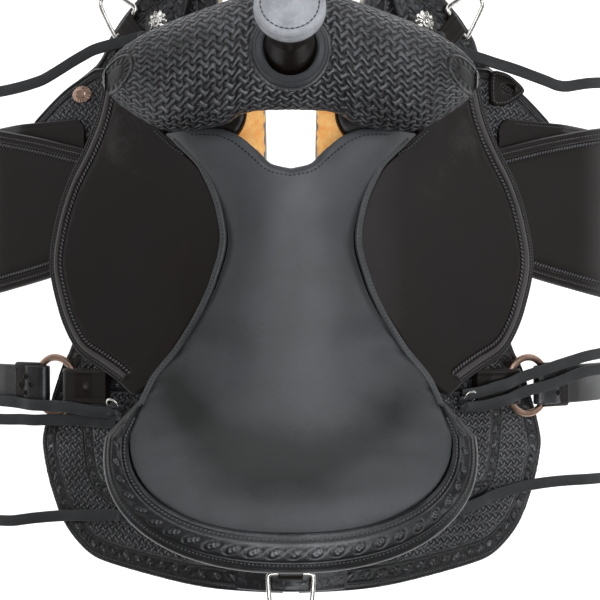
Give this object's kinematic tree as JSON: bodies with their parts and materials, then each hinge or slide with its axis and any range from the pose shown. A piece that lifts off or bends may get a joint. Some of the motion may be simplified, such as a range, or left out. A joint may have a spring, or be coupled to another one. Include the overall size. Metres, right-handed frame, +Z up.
{
  "type": "western saddle",
  "caption": "Western riding saddle with horn, padded seat, rolled cantle, skirts, fenders, stirrups, rigging rings and leather strings.",
  "frame": {"origin": "on the ridge line of the carrying surface, midway between the tree bars under the rider", "axes": "+X to the rider's right, +Y forward to the horn, +Z up"},
  "size_m": [0.9492, 0.6637, 0.8431],
  "materials": {
    "black_leather": "tooled saddle leather, semi-gloss",
    "seat_leather": "soft padded seat leather, satin",
    "strap_leather": "smooth string and strap leather, matte",
    "russet_leather": "rough undyed leather",
    "rawhide": "rawhide over wood",
    "fleece": "wool fleece",
    "nickel": "polished nickel",
    "copper": "antiqued copper-tinted plate",
    "stirrup_wood": "oiled wood"
  },
  "bodies": {
    "saddle": {"tree_fork": "rawhide", "tree_bar_left": "rawhide", "tree_bar_right": "rawhide", "cantle_board": "rawhide", "ground_seat": "black_leather", "horn_wrap": "black_leather", "horn_cap": "black_leather", "horn_collar": "black_leather", "swell_cover": "black_leather", "cantle_roll": "black_leather", "cantle_back": "black_leather", "horn_core": "nickel", "seat": "seat_leather", "gullet_lining_left": "russet_leather", "side_jockey_left": "black_leather", "rear_jockey_left": "black_leather", "front_jockey_left": "black_leather", "skirt_left": "black_leather", "rigging_plate_left": "black_leather", "rear_rigging_strap_left": "black_leather", "fleece_left": "fleece", "star_concho_left": "nickel", "gullet_lining_right": "russet_leather", "side_jockey_right": "black_leather", "rear_jockey_right": "black_leather", "front_jockey_right": "black_leather", "skirt_right": "black_leather", "rigging_plate_right": "black_leather", "rear_rigging_strap_right": "black_leather", "fleece_right": "fleece", "star_concho_right": "nickel", "oval_concho": "copper", "latigo_keeper": "black_leather", "string_front_left": "strap_leather", "string_front_right": "strap_leather", "string_mid_left_a": "strap_leather", "string_mid_left_b": "strap_leather", "string_mid_right_a": "strap_leather", "string_mid_right_b": "strap_leather", "string_rear_left": "strap_leather", "string_rear_right": "strap_leather"},
    "fender_set_left": {"fender_left": "black_leather", "stirrup_leather_left": "black_leather", "hobble_strap_left": "black_leather", "stirrup_bolt_left": "nickel"},
    "stirrup_body_left": {"stirrup_left": "stirrup_wood"},
    "cinch_strap_left": {"latigo_left": "strap_leather"},
    "ring_body_left": {"rear_ring_left": "copper"},
    "billet_body_left": {"rear_billet_left": "black_leather"},
    "breast_dee_body_left": {"breast_dee_left": "nickel"},
    "fender_set_right": {"fender_right": "black_leather", "stirrup_leather_right": "black_leather", "hobble_strap_right": "black_leather", "stirrup_bolt_right": "nickel"},
    "stirrup_body_right": {"stirrup_right": "stirrup_wood"},
    "cinch_strap_right": {"off_billet_right": "strap_leather"},
    "ring_body_right": {"rear_ring_right": "copper"},
    "billet_body_right": {"rear_billet_right": "black_leather"},
    "breast_dee_body_right": {"breast_dee_right": "nickel"},
    "crupper_dee_body": {"crupper_dee": "nickel"}
  },
  "joints": [
    {"name": "fender_swing_left", "type": "hinge", "parent": "saddle", "child": "fender_set_left", "pos_m": [-0.13872, 0.098, -0.03273], "axis": [0.5878, 0, -0.809], "range_deg": [-10, 20]},
    {"name": "stirrup_turn_left", "type": "hinge", "parent": "fender_set_left", "child": "stirrup_body_left", "pos_m": [-0.44959, 0.098, -0.52342], "axis": [0, 1, 0], "range_deg": [-30, 40]},
    {"name": "cinch_strap_swing_left", "type": "hinge", "parent": "saddle", "child": "cinch_strap_left", "pos_m": [-0.23811, 0.172, -0.11199], "axis": [0.5878, 0, -0.809], "range_deg": [-12, 12]},
    {"name": "rear_ring_turn_left", "type": "hinge", "parent": "saddle", "child": "ring_body_left", "pos_m": [-0.25423, -0.092, -0.11668], "axis": [0.5878, 0, -0.809], "range_deg": [-30, 30]},
    {"name": "rear_billet_swing_left", "type": "hinge", "parent": "saddle", "child": "billet_body_left", "pos_m": [-0.25423, -0.092, -0.11668], "axis": [0.5878, 0, -0.809], "range_deg": [-12, 12]},
    {"name": "breast_dee_flap_left", "type": "hinge", "parent": "saddle", "child": "breast_dee_body_left", "pos_m": [-0.17186, 0.288, -0.06473], "axis": [0.5721, 0.7071, 0.4156], "range_deg": [0, 75]},
    {"name": "fender_swing_right", "type": "hinge", "parent": "saddle", "child": "fender_set_right", "pos_m": [0.13872, 0.098, -0.03273], "axis": [0.5878, 0, 0.809], "range_deg": [-10, 20]},
    {"name": "stirrup_turn_right", "type": "hinge", "parent": "fender_set_right", "child": "stirrup_body_right", "pos_m": [0.44959, 0.098, -0.52342], "axis": [0, -1, 0], "range_deg": [-30, 40]},
    {"name": "cinch_strap_swing_right", "type": "hinge", "parent": "saddle", "child": "cinch_strap_right", "pos_m": [0.23811, 0.172, -0.11199], "axis": [0.5878, 0, 0.809], "range_deg": [-12, 12]},
    {"name": "rear_ring_turn_right", "type": "hinge", "parent": "saddle", "child": "ring_body_right", "pos_m": [0.25423, -0.092, -0.11668], "axis": [0.5878, 0, 0.809], "range_deg": [-30, 30]},
    {"name": "rear_billet_swing_right", "type": "hinge", "parent": "saddle", "child": "billet_body_right", "pos_m": [0.25423, -0.092, -0.11668], "axis": [0.5878, 0, 0.809], "range_deg": [-12, 12]},
    {"name": "breast_dee_flap_right", "type": "hinge", "parent": "saddle", "child": "breast_dee_body_right", "pos_m": [0.17186, 0.288, -0.06473], "axis": [0.5721, -0.7071, -0.4156], "range_deg": [0, 75]},
    {"name": "crupper_dee_flap", "type": "hinge", "parent": "saddle", "child": "crupper_dee_body", "pos_m": [0, -0.266, 0.0425], "axis": [-1, 0, 0], "range_deg": [0, 80]}
  ]
}
